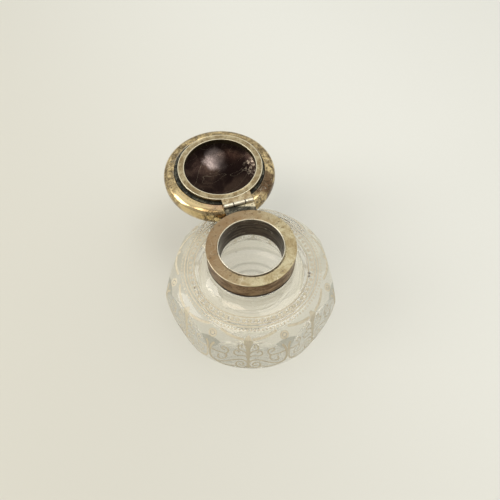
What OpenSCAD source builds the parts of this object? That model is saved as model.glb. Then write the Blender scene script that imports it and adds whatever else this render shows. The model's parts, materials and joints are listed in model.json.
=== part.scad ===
// Desk inkwell: a squat seven-sided glass body with a silver collar and a hollow, hinged, bun-shaped lid.
// Millimetres, +Z up. The origin is the centre of the flat base, and the hinge lies towards +Y.
// The lid is drawn open, lying on its back behind the collar.

/* [Glass body] */
// Radius of the body at its widest line
body_r = 51; // [48.5:0.5:54]
// Height of the widest line above the base
body_wide_z = 23.5; // [20:0.5:26]
// Radius of the flat foot
foot_r = 39; // [32:0.5:42]
// Fullness of the curve under the widest line, 2 is an ellipse
under_curve = 2.3; // [2:0.1:3]
// Radius at which the shoulder is level
shoulder_r = 35; // [32:0.5:37]
// Height of the level part of the shoulder
shoulder_z = 41.4; // [39:0.2:42]
// Outer radius of the neck
neck_r = 23; // [21.5:0.1:23.4]
// Height of the top of the neck
neck_top_z = 60.2; // [58:0.2:64]
// Height at which the neck starts to flare into the shoulder
neck_flare_z = 49.5; // [46:0.5:52]
// Radius of the bore in the neck
neck_bore_r = 18.9; // [18.8:0.1:20]

/* [Facets] */
// Number of facets round the body
facet_count = 7; // [6:1:8]
// Distance from the axis to each facet
facet_reach = 45.6; // [44.5:0.1:46.5]
// Height at which that distance is measured
facet_z = 28; // [24:0.5:32]
// Lean of the facets, out towards the foot
facet_lean = 4.6; // [0:0.2:6]
// Turn of the facets about the axis, away from the hinge side
facet_turn = 5.6; // [0:0.2:25]
// Distance from the axis to the small cut above each corner
corner_cut_r = 48.4; // [48:0.1:49.4]
// Height of the middle of that cut
corner_cut_z = 31.9; // [31:0.1:33]
// Slope of that cut away from upright
corner_cut_tilt = 26.3; // [20:0.1:32]

/* [Well] */
// Radius of the ink well
well_r = 34; // [28:0.5:37]
// Height of the well's floor
well_floor_z = 12; // [8:0.5:13.5]
// Radius between the well's floor and wall
well_corner_r = 13; // [6:0.5:14]
// Height at which the well's wall starts to close in
well_wall_z = 27; // [25.5:0.5:29]
// Rise of the well's ceiling from there to the bore
well_ceiling_h = 12.5; // [8:0.5:13.5]

/* [Collar] */
// Outer radius of the flange on top
flange_r = 25; // [24.9:0.1:26]
// Thickness of the flange
flange_t = 1; // [0.8:0.1:1.4]
// Step from the flange's edge in to the band
band_step = 0.2; // [0.1:0.05:0.4]
// Height of the band under the flange's top face
band_h = 12.2; // [9:0.2:12.6]
// Wall of the band
band_t = 0.8; // [0.6:0.1:1]
// Radius of the mouth
mouth_r = 18.1; // [17.8:0.1:18.1]
// Radius at the lower end of the inner sleeve
sleeve_end_r = 17.4; // [16.5:0.1:17.6]
// Length of the inner sleeve
sleeve_h = 14.1; // [8:0.1:20]
// Wall of the inner sleeve
sleeve_t = 0.5; // [0.4:0.05:0.6]
// Height of the sleeve's rounded lip above the flange
lip_rise = 0.15; // [0.1:0.05:0.25]
// Thickness of the plaster bed on top of the neck
bed_t = 0.8; // [0.4:0.1:1.5]

/* [Hinge] */
// Gap between the collar and the lid's bulge with the lid open
open_gap = 1.4; // [1.2:0.1:4]
// Height of the pin above the flange's top face
hinge_rise = 0.5; // [0.45:0.05:0.8]
// Shift of the hinge to the right of the centre line
hinge_shift = 2.2; // [0:0.1:3]
// Outer radius of the knuckles
knuckle_r = 1.25; // [1.1:0.05:1.3]
// Length of the left knuckle
knuckle_left_w = 5.6; // [4:0.1:6]
// Length of the middle knuckle
knuckle_middle_w = 6.8; // [5:0.1:7.5]
// Length of the right knuckle
knuckle_right_w = 4.8; // [4:0.1:6]
// Gap between neighbouring knuckles
knuckle_gap = 0.2; // [0.15:0.05:0.3]
// Radius of the pin
pin_r = 0.5; // [0.4:0.05:0.6]
// Running clearance of the pin in the middle knuckle
pin_clearance = 0.05; // [0.02:0.01:0.08]
// Height of each domed pin end
pin_head_h = 0.25; // [0.15:0.05:0.4]
// Thickness of the hinge leaves
leaf_t = 1; // [0.8:0.05:1.1]
// Drop of the lower leaf from the pin to the band
leaf_drop = 0.9; // [0.5:0.1:1.5]
// Room round the knuckles for what turns past them
swing_gap = 0.3; // [0.2:0.05:0.35]

/* [Lid] */
// Radius of the lid at its widest line
lid_r = 33.6; // [32:0.1:34]
// Height of the widest line above the bezel's face, with the lid closed
lid_wide_h = 7.5; // [7:0.1:8.5]
// Rise of the dome above the widest line
lid_dome_h = 17.6; // [14:0.1:17.9]
// Radius of the rim, where the bulge rolls in under the lid
lid_rim_r = 27; // [26.6:0.1:27.6]
// Fullness of the bulge between the rim and the widest line, 2 is an ellipse
bulge_curve = 2.6; // [2:0.1:3]
// Shift of the dome to the left of the bezel, as it was soldered
dome_shift = 0.6; // [0:0.1:0.8]
// Wall of the dome
lid_wall = 0.9; // [0.6:0.05:1.1]
// Outer radius of the bezel
bezel_r = 25.4; // [24.8:0.1:25.8]
// Radius of the opening in the bezel
bezel_open_r = 21.4; // [20.5:0.1:22]
// Height of the bezel below the groove beside it
bezel_h = 2.3; // [1.8:0.1:2.5]
// Depth of the shallow dish in the bezel's face
bezel_dish = 0.2; // [0.1:0.05:0.3]
// Width of the rolled edge on each side of the dish
bezel_edge = 0.6; // [0.4:0.05:0.9]
// Wall of the short tube inside the bezel
tube_t = 0.5; // [0.4:0.05:0.7]
// Height of that tube above the base ring
tube_rise = 0.6; // [0.3:0.1:1]
// Thickness of the base ring between the bezel and the rim
ring_t = 0.8; // [0.6:0.05:0.9]
// Gap between the bezel and the flange with the lid closed
closed_gap = 0.3; // [0.25:0.01:0.35]

/* [Hidden] */
$fn = 96;

// Steps along each curved stretch of an outline
arc_steps = 14;
// Extra length by which a cutter passes the face it cuts
over = 1;

flange_z = neck_top_z + bed_t + flange_t;
band_r = flange_r - band_step;
band_inner_r = band_r - band_t;
band_low_z = flange_z - band_h;
sleeve_seat_r = mouth_r + sleeve_t;
bed_low_z = band_low_z + over;

facet_step = 360 / facet_count;
hinge_turn = 90;
cutter = 2 * body_r;

// Halfway between the axes of the collar and of the open lid
hinge_y = (flange_r + lid_r + open_gap) / 2;
pin_z = flange_z + hinge_rise;
hinge_w = knuckle_left_w + knuckle_middle_w + knuckle_right_w + 2 * knuckle_gap;
left_x = hinge_shift - hinge_w / 2;
middle_x = left_x + knuckle_left_w + knuckle_gap;
right_x = middle_x + knuckle_middle_w + knuckle_gap;

// With the lid closed, its bezel's face lies here
bezel_z = flange_z + closed_gap;

// Points of a quarter of a superellipse, from its side point to its top point.
// cr and cz are its centre, rr and rz its reaches, and a reach may be negative.
function quarter(cr, cz, rr, rz, power = 2) = [
    for (i = [0:arc_steps])
        let (t = 90 * i / arc_steps)
        [cr + rr * pow(abs(cos(t)), 2 / power), cz + rz * pow(abs(sin(t)), 2 / power)]
];
function backwards(points) = [for (i = [len(points) - 1:-1:0]) points[i]];

// Half outline of the body before it is cut, from the foot up to the neck
function body_outline() = concat(
    [[0, 0]],
    backwards(quarter(foot_r, body_wide_z, body_r - foot_r, -body_wide_z, under_curve)),
    quarter(shoulder_r, body_wide_z, body_r - shoulder_r, shoulder_z - body_wide_z),
    backwards(quarter(shoulder_r, neck_flare_z, neck_r - shoulder_r, shoulder_z - neck_flare_z)),
    [[neck_r, neck_top_z], [0, neck_top_z]]
);

// Half outline of the hollow, from its floor up through the neck
function well_outline() = concat(
    [[0, well_floor_z]],
    backwards(quarter(well_r - well_corner_r, well_floor_z + well_corner_r, well_corner_r, -well_corner_r)),
    quarter(neck_bore_r, well_wall_z, well_r - neck_bore_r, well_ceiling_h),
    [[neck_bore_r, neck_top_z + over], [0, neck_top_z + over]]
);

// Outline of the lid at a distance inside its outer face, with the lid closed
function dome_outline(inset) = concat(
    backwards(quarter(lid_rim_r, bezel_z + lid_wide_h,
        lid_r - lid_rim_r - inset, bezel_h - lid_wide_h + inset, bulge_curve)),
    quarter(0, bezel_z + lid_wide_h, lid_r - inset, lid_dome_h - inset)
);

// A flat cutter that removes everything beyond a plane, which leans back by tilt
module plane_cut(reach, height, tilt) {
    translate([reach, 0, height])
        rotate([0, -tilt, 0])
            translate([0, -cutter / 2, -cutter / 2])
                cube([cutter / 2, cutter, cutter]);
}

module glass_body() {
    color("azure", 0.5)
    difference() {
        rotate_extrude() polygon(body_outline());
        for (i = [0:facet_count - 1]) {
            rotate([0, 0, hinge_turn + facet_turn + i * facet_step])
                plane_cut(facet_reach, facet_z, facet_lean);
            rotate([0, 0, hinge_turn + facet_turn + (i + 0.5) * facet_step])
                plane_cut(corner_cut_r, corner_cut_z, corner_cut_tilt);
        }
        rotate_extrude() polygon(well_outline());
    }
}

// Plaster that holds the collar on the neck
module cement_bed() {
    color("ivory")
    rotate_extrude() polygon([
        [neck_r, bed_low_z], [band_inner_r, bed_low_z],
        [band_inner_r, flange_z - flange_t], [neck_bore_r, flange_z - flange_t],
        [neck_bore_r, neck_top_z], [neck_r, neck_top_z],
    ]);
}

module collar_band() {
    color("rosybrown")
    translate([0, 0, band_low_z])
        difference() {
            cylinder(r = band_r, h = band_h - flange_t);
            translate([0, 0, -over])
                cylinder(r = band_inner_r, h = band_h - flange_t + 2 * over);
        }
}

// Flat ring on top of the collar, with a rounded outer edge
module collar_flange() {
    edge = flange_t / 2;
    color("tan")
    rotate_extrude()
        difference() {
            union() {
                translate([0, flange_z - flange_t])
                    square([flange_r - edge, flange_t]);
                translate([flange_r - edge, flange_z - edge])
                    circle(r = edge);
            }
            translate([0, flange_z - flange_t - over])
                square([sleeve_seat_r, flange_t + 2 * over]);
        }
}

// Thin tube inside the neck, drawn in a little towards its lower end
module collar_sleeve() {
    low_z = flange_z - sleeve_h;
    color("dimgray")
    rotate_extrude() polygon([
        [sleeve_end_r, low_z], [sleeve_end_r + sleeve_t, low_z],
        [sleeve_seat_r, flange_z - flange_t], [sleeve_seat_r, flange_z],
        [sleeve_seat_r - lip_rise, flange_z + lip_rise], [mouth_r + lip_rise, flange_z + lip_rise],
        [mouth_r, flange_z],
    ]);
}

// A bar along the hinge line
module hinge_bar(x, w, r) {
    translate([x, hinge_y, pin_z])
        rotate([0, 90, 0])
            cylinder(r = r, h = w);
}

module knuckle(x, w, bore) {
    difference() {
        hinge_bar(x, w, knuckle_r);
        hinge_bar(x - over, w + 2 * over, bore);
    }
}

// Outline of the lower leaf, seen along the pin: level under the knuckles, then down to the band
module lower_leaf_outline() {
    top = pin_z - knuckle_r + leaf_t / 4;
    reach = hinge_y + knuckle_r / 2;
    polygon([
        [0, top - leaf_drop], [band_r, top - leaf_drop], [hinge_y - knuckle_r, top], [reach, top],
        [reach, top - leaf_t * 0.6], [hinge_y - knuckle_r, top - leaf_t],
        [band_r, top - leaf_t - leaf_drop], [0, top - leaf_t - leaf_drop],
    ]);
}

module hinge_leaf_lower() {
    color("darkolivegreen")
    difference() {
        translate([left_x, 0, 0])
            rotate([90, 0, 90])
                linear_extrude(height = hinge_w) lower_leaf_outline();
        cylinder(r = band_r, h = flange_z + over);
        hinge_bar(left_x - over, hinge_w + 2 * over, knuckle_r);
        hinge_bar(middle_x - knuckle_gap, knuckle_middle_w + 2 * knuckle_gap, knuckle_r + swing_gap);
    }
}

module hinge_knuckle_left() {
    color("palegoldenrod") knuckle(left_x, knuckle_left_w, pin_r);
}

module hinge_knuckle_right() {
    color("palegoldenrod") knuckle(right_x, knuckle_right_w, pin_r);
}

module hinge_pin() {
    color("gray")
    translate([left_x, hinge_y, pin_z])
        rotate([0, 90, 0])
            rotate_extrude() polygon([
                [0, -pin_head_h], [pin_r / 2, -pin_head_h], [pin_r, 0], [pin_r, hinge_w],
                [pin_r / 2, hinge_w + pin_head_h], [0, hinge_w + pin_head_h],
            ]);
}

// Turns what is drawn closed over to its place with the lid open
module opened() {
    translate([0, hinge_y, pin_z])
        rotate([180, 0, 0])
            translate([0, -hinge_y, -pin_z])
                children();
}

// Plate from the bezel to the middle knuckle, let in flush with the bezel's face
module hinge_leaf_upper() {
    color("burlywood")
    opened()
    difference() {
        translate([left_x, 0, bezel_z])
            cube([hinge_w, hinge_y, leaf_t]);
        translate([0, 0, bezel_z - over])
            cylinder(r = bezel_r, h = leaf_t + 2 * over);
        hinge_bar(middle_x - over, knuckle_middle_w + 2 * over, knuckle_r);
        hinge_bar(left_x - over, middle_x - left_x + over, knuckle_r + swing_gap);
        hinge_bar(right_x - knuckle_gap, knuckle_right_w + knuckle_gap + over, knuckle_r + swing_gap);
    }
}

module hinge_knuckle_middle() {
    color("palegoldenrod") opened() knuckle(middle_x, knuckle_middle_w, pin_r + pin_clearance);
}

// Hollow dome with a rolled lower edge
module lid_dome() {
    color("darkkhaki")
    opened()
    translate([-dome_shift, 0, 0])
    rotate_extrude() polygon(concat(dome_outline(0), backwards(dome_outline(lid_wall))));
}

// Flat ring at the bottom of the groove between the bezel and the dome
module lid_base_ring() {
    color("darkslategray")
    opened()
    translate([0, 0, bezel_z + bezel_h])
        difference() {
            translate([-dome_shift, 0, 0])
                cylinder(r = lid_rim_r, h = ring_t);
            translate([0, 0, -over])
                cylinder(r = bezel_open_r + tube_t, h = ring_t + 2 * over);
        }
}

// Ring that meets the collar: a dished face, and a short tube up inside the base ring
module lid_bezel() {
    tube_r = bezel_open_r + tube_t;
    tube_z = bezel_z + bezel_h + ring_t + tube_rise;
    corner = bezel_dish;
    color("khaki")
    opened()
    rotate_extrude() polygon([
        [bezel_open_r + corner, bezel_z], [bezel_open_r + bezel_edge, bezel_z],
        [bezel_open_r + 2 * bezel_edge, bezel_z + bezel_dish],
        [bezel_r - 2 * bezel_edge, bezel_z + bezel_dish],
        [bezel_r - bezel_edge, bezel_z], [bezel_r - corner, bezel_z],
        [bezel_r, bezel_z + corner], [bezel_r, bezel_z + bezel_h],
        [tube_r, bezel_z + bezel_h], [tube_r, tube_z],
        [bezel_open_r, tube_z], [bezel_open_r, bezel_z + corner],
    ]);
}

glass_body();
cement_bed();
collar_band();
collar_flange();
collar_sleeve();
hinge_leaf_lower();
hinge_knuckle_left();
hinge_knuckle_right();
hinge_pin();
hinge_leaf_upper();
hinge_knuckle_middle();
lid_dome();
lid_base_ring();
lid_bezel();
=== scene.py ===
import json
import math

import bmesh
import bpy
import numpy as np
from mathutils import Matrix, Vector, noise


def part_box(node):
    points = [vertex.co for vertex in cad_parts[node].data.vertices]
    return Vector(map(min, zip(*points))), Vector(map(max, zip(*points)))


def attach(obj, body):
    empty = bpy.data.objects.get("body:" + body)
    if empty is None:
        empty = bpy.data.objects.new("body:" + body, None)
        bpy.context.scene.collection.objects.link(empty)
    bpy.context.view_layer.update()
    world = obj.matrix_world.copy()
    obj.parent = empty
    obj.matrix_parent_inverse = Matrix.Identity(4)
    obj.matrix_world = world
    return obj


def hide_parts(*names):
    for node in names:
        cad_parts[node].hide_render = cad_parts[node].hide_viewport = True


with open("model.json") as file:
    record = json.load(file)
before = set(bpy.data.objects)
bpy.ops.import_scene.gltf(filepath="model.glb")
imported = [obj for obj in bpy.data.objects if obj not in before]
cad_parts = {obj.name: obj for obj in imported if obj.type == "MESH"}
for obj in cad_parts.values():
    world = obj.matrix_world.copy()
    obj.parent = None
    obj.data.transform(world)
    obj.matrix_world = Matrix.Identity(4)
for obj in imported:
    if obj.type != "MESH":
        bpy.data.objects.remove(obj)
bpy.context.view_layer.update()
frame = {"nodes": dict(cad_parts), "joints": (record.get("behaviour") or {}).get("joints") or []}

MM = 0.001


def box_mm(node):
    """Lowest and highest corner of a CAD node, in millimetres."""
    low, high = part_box(node)
    return low / MM, high / MM


# ---------------------------------------------------------------- sizes from the frame

GLASS_TOP = box_mm("glass_body")[1].z
FLANGE_LOW, FLANGE_TOP = box_mm("collar_flange")
BAND_LOW, BAND_TOP = box_mm("collar_band")
SLEEVE_LOW, SLEEVE_TOP = box_mm("collar_sleeve")
DOME_LOW, DOME_TOP = box_mm("lid_dome")
RING_LOW, RING_TOP = box_mm("lid_base_ring")
BEZEL_TOP = box_mm("lid_bezel")[1]
PIN = Vector(frame["joints"][0]["pos_m"]) / MM

FLANGE_R = FLANGE_TOP.x
FLANGE_Z = FLANGE_TOP.z
BAND_R = BAND_TOP.x
SLEEVE_R = SLEEVE_TOP.x
LID_R = (DOME_TOP.x - DOME_LOW.x) / 2
LID_Y = (DOME_LOW.y + DOME_TOP.y) / 2
DOME_X = (DOME_LOW.x + DOME_TOP.x) / 2
RIM_R = (RING_TOP.x - RING_LOW.x) / 2
BEZEL_R = BEZEL_TOP.x

# ---------------------------------------------------------------- sizes that a node's box doesn't give
# FACET_LEAN, FACET_TURN and CORNER_TILT are in degrees.

BODY_R, BODY_WIDE_Z = 51.0, 23.5
FOOT_R, UNDER_CURVE = 39.0, 2.3
SHOULDER_R, SHOULDER_Z = 35.0, 41.4
NECK_R, NECK_FLARE_Z, NECK_BORE_R = 23.0, 49.5, 18.9
WELL_R, WELL_FLOOR_Z, WELL_CORNER_R = 34.0, 12.0, 13.0
WELL_WALL_Z, WELL_CEILING_H = 27.0, 12.5
SIDES = 7
FACET_REACH, FACET_Z, FACET_LEAN = 45.6, 28.0, 4.6
FACET_TURN = 95.6
CORNER_R, CORNER_Z, CORNER_TILT = 48.4, 31.9, 26.3
LID_WALL, LID_WIDE_H, BULGE_CURVE = 0.9, 7.5, 2.6
BEZEL_OPEN_R, BEZEL_DISH, BEZEL_EDGE = 21.4, 0.2, 0.6
TUBE_T, TUBE_RISE = 0.5, 0.6
BAND_T, SLEEVE_T, SLEEVE_END_R = 0.8, 0.5, 17.4
BED_GAP = 0.02
PIN_R, TURNING_BORE_R = 0.5, 0.56

# Glass mesh: columns on each side of the seven, and steps between rows
SIDE_COLUMNS = 128
FINE_STEP, COARSE_STEP = 0.36, 1.5
EDGE_SOFTNESS = 0.22

# A distance greater than any on the glass, and how many of its points are compared with a scroll at once
FAR = 99.0
POINTS_AT_ONCE = 4000

# Columns round the turned pieces
COLLAR_COLUMNS, LID_COLUMNS, KNUCKLE_COLUMNS = 288, 384, 64

# Camera of the photograph, worked out from its ellipses and corners; its turn and rise are in degrees
VIEW_TARGET = (-1.22, -1.45, 62.0)
VIEW_TURN, VIEW_RISE, VIEW_DISTANCE = -18.0, 56.74, 325.3
VIEW_DROP = 0.54
LENS, SENSOR = 43.2, 36.0

# ---------------------------------------------------------------- engraving, on one half of a facet
# A scroll's points are (distance from the facet's middle line, height), and the stem's are (height, half its
# width). Above the facet the height goes on as the way up the shoulder.

STEM = [(6, 0.3), (13, 0.6), (20, 0.8), (27, 1.0), (31, 1.6), (34, 2.3), (37, 2.5), (39.5, 1.6), (41, 0.5)]
SCROLLS = {
    "upper_curl": [(0.4, 21), (1.4, 24.5), (3, 26.3), (4.8, 27.6), (5.5, 30), (4.9, 32.4), (3.5, 32.2), (3.4, 30.3)],
    "lower_curl": [(0.4, 18.3), (1.8, 20.6), (3.8, 21), (6, 21), (7.7, 22.8), (7.8, 25.4), (6.3, 27), (5, 24.9)],
    "big_scroll": [(0.4, 7), (0.4, 12.3), (2, 15.1), (4.4, 16.4), (7.8, 15.9), (12.2, 14.1), (16.2, 13.8),
                   (19.5, 16.1), (21, 20.2), (21.4, 25), (20.6, 30), (18.8, 32.8)],
    "eye": [(0.6, 9.5), (2.2, 7.2), (5.5, 7.5), (7, 10.6), (6, 13.3), (3.8, 13.2), (2.6, 10.9), (3.8, 9.3),
            (4.9, 10.4)],
    "low_line": [(6.6, 9), (11.2, 9.3), (15.6, 11.6), (19.5, 16.1)],
    "corner_loop": [(20.4, 28.6), (18, 26.2), (15.3, 24.1), (12.7, 22.4), (12.2, 19.6), (13.5, 17.2), (15.8, 17),
                    (17.1, 19.4), (16.4, 22)],
    "corner_leaf": [(12.6, 22.6), (11, 25.6), (11.6, 28.8), (13.6, 30.6), (14.4, 28.6), (13, 27)],
    "brow": [(14.5, 41.7), (11, 40.4), (7, 39.4), (3, 38.9)],
}
SCROLL_WIDTHS = {"brow": 1.5, "big_scroll": 1.05, "low_line": 0.7}
SCROLL_WIDTH, SCROLL_DEPTH = 0.9, 0.05
LEAF_Z, LEAF_RIB_PITCH = 31, 0.55
ENGRAVED_FROM_Z = 5
SPOT_RINGS = ((34.8, 66, 1.05), (40.0, 120, 0.55))  # each: the ring's radius, how many spots, their radius
LINE_RINGS = (32.9, 36.6, 38.2)
LINE_WIDTH = 0.7
LINE_GAP_R = 37.4
PEARL_R, PEARL_SIZE, PEARL_DEPTH = 44.9, 2.5, 0.16
PANEL_TOP, PANEL_SAG, PANEL_HALF_WIDTH = 33.0, 3.0, 18.0
WELL_RINGS = (15.0, 20.5)

# How grey the clear glass is, from 0 to 1; all but the well floor's rings is painted shade
PANEL_SHADE, CORNER_SHADE, WELL_RING_TONE, LINE_GAP_SHADE, UNDER_GLASS_SHADE = 0.5, 1.0, 0.6, 0.45, 0.35


# ---------------------------------------------------------------- small helpers

def arc(centre, reach, power=2.0, steps=40):
    """Points of a quarter of a superellipse, from its side point to its top point."""
    points = []
    for i in range(steps + 1):
        t = math.pi / 2 * i / steps
        points.append((centre[0] + reach[0] * abs(math.cos(t)) ** (2 / power),
                       centre[1] + reach[1] * abs(math.sin(t)) ** (2 / power)))
    return points


def filleted(corners, radius, steps=5):
    """A closed outline with each corner (r, z) rounded by up to that radius."""
    points = []
    count = len(corners)
    for i, corner in enumerate(corners):
        here = np.array(corner, float)
        to_last = np.array(corners[i - 1], float) - here
        to_next = np.array(corners[(i + 1) % count], float) - here
        reach = min(radius, np.linalg.norm(to_last) * 0.45, np.linalg.norm(to_next) * 0.45)
        start = here + to_last / np.linalg.norm(to_last) * reach
        end = here + to_next / np.linalg.norm(to_next) * reach
        for k in range(steps + 1):
            t = k / steps
            points.append(tuple((1 - t) ** 2 * start + 2 * t * (1 - t) * here + t ** 2 * end))
    return points


def spaced(points, step, closed=False):
    """The same line with points no further apart than step."""
    line = list(points) + ([points[0]] if closed else [])
    out = []
    for a, b in zip(line, line[1:]):
        parts = max(1, math.ceil(math.dist(a, b) / step))
        out += [tuple(np.array(a) + (np.array(b) - np.array(a)) * k / parts) for k in range(parts)]
    return out if closed else out + [tuple(line[-1])]


def even_rows(points, steps):
    """Points along a line, at the spacing that steps(r, z) asks for."""
    fine = np.array(spaced(points, 0.02))
    rows = [fine[0]]
    since = 0.0
    for a, b in zip(fine, fine[1:]):
        since += np.linalg.norm(b - a)
        if since >= steps(b[0], b[1]):
            rows.append(b)
            since = 0.0
    if np.linalg.norm(rows[-1] - fine[-1]) < 0.05:
        rows.pop()
    return rows + [fine[-1]]


def curve_through(points, step=0.12):
    """A smooth line through points, as many close points (Catmull-Rom)."""
    p = np.array([points[0]] + list(points) + [points[-1]], float)
    out = []
    for i in range(1, len(p) - 2):
        count = max(2, int(np.linalg.norm(p[i + 1] - p[i]) / step))
        t = np.linspace(0, 1, count, endpoint=False)[:, None]
        out.append(0.5 * (2 * p[i] + (p[i + 1] - p[i - 1]) * t
                          + (2 * p[i - 1] - 5 * p[i] + 4 * p[i + 1] - p[i + 2]) * t ** 2
                          + (3 * p[i] - p[i - 1] - 3 * p[i + 1] + p[i + 2]) * t ** 3))
    return np.vstack(out + [p[-2:-1]])


def soft_step(low, high, value):
    """0 below low and 1 above high, with a smooth change between them."""
    t = np.clip((value - low) / (high - low), 0, 1)
    return t * t * (3 - 2 * t)


def give(mesh, name, values):
    """Keeps one number per point of a mesh under a name that its material reads."""
    layer = mesh.attributes.new(name, "FLOAT", "POINT")
    layer.data.foreach_set("value", np.asarray(values, np.float32))


def smooth(mesh):
    mesh.polygons.foreach_set("use_smooth", [True] * len(mesh.polygons))


def new_piece(name, points_mm, faces):
    mesh = bpy.data.meshes.new(name)
    mesh.from_pydata([tuple(p) for p in np.asarray(points_mm) * MM], [], faces)
    smooth(mesh)
    mesh.update()
    piece = bpy.data.objects.new(name, mesh)
    bpy.context.scene.collection.objects.link(piece)
    return piece


def finish_piece(piece, node, body, slot, *materials):
    """The piece takes the CAD node's place, rides on its body and gets its materials."""
    for material in materials:
        piece.data.materials.append(material)
    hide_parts(node)
    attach(piece, body)


def upright(r, z, angle):
    return (r * math.cos(angle), r * math.sin(angle), z)


def opened(r, z, angle):
    """A point of the lid, drawn closed over the collar, turned open about the hinge pin."""
    return (r * math.cos(angle), 2 * PIN.y - r * math.sin(angle), 2 * PIN.z - z)


def opened_dome(r, z, angle):
    """The same for the dome, which was soldered a little off the bezel's centre."""
    x, y, z = opened(r, z, angle)
    return (x + DOME_X, y, z)


def lathe(name, outline, place=upright, columns=COLLAR_COLUMNS):
    """A ring-shaped piece from a closed outline of (r, z) points."""
    rows = len(outline)
    points = []
    for j in range(columns):
        angle = 2 * math.pi * j / columns
        points += [place(r, z, angle) for r, z in outline]
    faces = []
    for j in range(columns):
        for i in range(rows):
            a, b = j * rows + i, j * rows + (i + 1) % rows
            c, d = ((j + 1) % columns) * rows + (i + 1) % rows, ((j + 1) % columns) * rows + i
            faces.append((a, d, c, b))
    piece = new_piece(name, points, faces)
    fix_normals(piece)
    return piece


def fix_normals(piece):
    """Turns all faces outwards."""
    work = bmesh.new()
    work.from_mesh(piece.data)
    bmesh.ops.recalc_face_normals(work, faces=work.faces)
    work.to_mesh(piece.data)
    work.free()
    piece.data.update()


def lathe_values(outline, columns, value):
    """value(r, z, angle) for each point of a lathed piece."""
    return [value(r, z, 2 * math.pi * j / columns) for j in range(columns) for r, z in outline]


def dent(piece, depth, size, seed):
    """Presses a hand-worked unevenness into a piece, never outwards."""
    points = np.array([v.co for v in piece.data.vertices])
    normals = np.array([v.normal for v in piece.data.vertices])
    shift = Vector((seed * 7.3, seed * 3.1, seed * 5.7))
    for i, vertex in enumerate(piece.data.vertices):
        amount = noise.noise(Vector(points[i]) / (size * MM) + shift)
        vertex.co = Vector(points[i] - normals[i] * depth * MM * (0.5 - 0.5 * amount))
    piece.data.update()


# ---------------------------------------------------------------- materials

# A Mix node's colour sockets, which share their names with its number sockets
MIX_A, MIX_B, MIX_RESULT = 6, 7, 2


class Nodes:
    """A node tree in the making, with short ways to make its usual nodes."""

    def __init__(self, tree):
        self.tree = tree

    def add(self, kind, **settings):
        node = self.tree.nodes.new(kind)
        for key, value in settings.items():
            setattr(node, key, value)
        return node

    def feed(self, socket, value):
        """Links a socket to another node's, or sets it to a number or a colour."""
        if isinstance(value, bpy.types.NodeSocket):
            self.tree.links.new(value, socket)
        elif isinstance(value, tuple) and len(value) == 3 and socket.type == "RGBA":
            socket.default_value = (*value, 1.0)
        else:
            socket.default_value = value

    def ramp(self, value, low, high, to_low=0.0, to_high=1.0, kind="SMOOTHSTEP"):
        node = self.add("ShaderNodeMapRange", interpolation_type=kind)
        self.feed(node.inputs["Value"], value)
        for key, number in (("From Min", low), ("From Max", high), ("To Min", to_low), ("To Max", to_high)):
            node.inputs[key].default_value = number
        return node.outputs["Result"]

    def math(self, kind, a, b=0.0):
        node = self.add("ShaderNodeMath", operation=kind)
        self.feed(node.inputs[0], a)
        self.feed(node.inputs[1], b)
        return node.outputs["Value"]

    def blend(self, factor, a, b):
        node = self.add("ShaderNodeMix", data_type="RGBA")
        self.feed(node.inputs["Factor"], factor)
        self.feed(node.inputs[MIX_A], a)
        self.feed(node.inputs[MIX_B], b)
        return node.outputs[MIX_RESULT]

    def along(self, place, direction):
        """How far a place lies along a direction."""
        node = self.add("ShaderNodeVectorMath", operation="DOT_PRODUCT")
        self.feed(node.inputs[0], place)
        node.inputs[1].default_value = direction
        return node.outputs["Value"]


class Look(Nodes):
    """A material in the making. Sizes are in millimetres."""

    def __init__(self, name):
        self.material = bpy.data.materials.new(name)
        self.material.use_nodes = True
        super().__init__(self.material.node_tree)
        self.shader = self.tree.nodes["Principled BSDF"]
        self.place = self.add("ShaderNodeTexCoord").outputs["Object"]

    def moved(self, stretch=(1, 1, 1), shift=0.0):
        """The object's own coordinates, stretched, and shifted so that two patterns don't fall alike."""
        node = self.add("ShaderNodeMapping")
        self.feed(node.inputs["Vector"], self.place)
        node.inputs["Location"].default_value = (shift * 0.37, shift * 0.61, shift * 0.23)
        node.inputs["Scale"].default_value = stretch
        return node.outputs["Vector"]

    def noise(self, size, detail=4.0, rough=0.5, warp=0.0, **moved):
        node = self.add("ShaderNodeTexNoise")
        self.feed(node.inputs["Vector"], self.moved(**moved))
        node.inputs["Scale"].default_value = 1 / (size * MM)
        node.inputs["Detail"].default_value = detail
        node.inputs["Roughness"].default_value = rough
        node.inputs["Distortion"].default_value = warp
        return node.outputs["Fac"]

    def cells(self, size, **moved):
        node = self.add("ShaderNodeTexVoronoi")
        self.feed(node.inputs["Vector"], self.moved(**moved))
        node.inputs["Scale"].default_value = 1 / (size * MM)
        return node.outputs["Distance"]

    def held(self, name):
        """A number that the mesh keeps for each of its points."""
        return self.add("ShaderNodeAttribute", attribute_name=name).outputs["Fac"]

    def towards(self, direction, low, high):
        """0 to 1 along a direction, between two distances from the origin."""
        return self.ramp(self.along(self.place, direction), low * MM, high * MM)

    def near(self, centre, inner, outer, warp=None):
        """1 near a point, falling to 0, with an uneven edge where warp is a node value."""
        node = self.add("ShaderNodeVectorMath", operation="DISTANCE")
        self.feed(node.inputs[0], self.place)
        node.inputs[1].default_value = tuple(c * MM for c in centre)
        distance = node.outputs["Value"]
        if warp is not None:
            distance = self.math("ADD", distance, self.ramp(warp, 0.3, 0.7, -inner * MM * 0.5, inner * MM * 0.5))
        return self.ramp(distance, inner * MM, outer * MM, 1.0, 0.0)

    def bump(self, height, depth):
        node = self.add("ShaderNodeBump")
        node.inputs["Strength"].default_value = 1.0
        node.inputs["Distance"].default_value = depth * MM
        self.feed(node.inputs["Height"], height)
        self.feed(self.shader.inputs["Normal"], node.outputs["Normal"])

    def set(self, **inputs):
        for key, value in inputs.items():
            self.feed(self.shader.inputs[key.replace("_", " ")], value)


# Depth of the fine unevenness of silver
SILVER_RELIEF = 0.02


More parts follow.
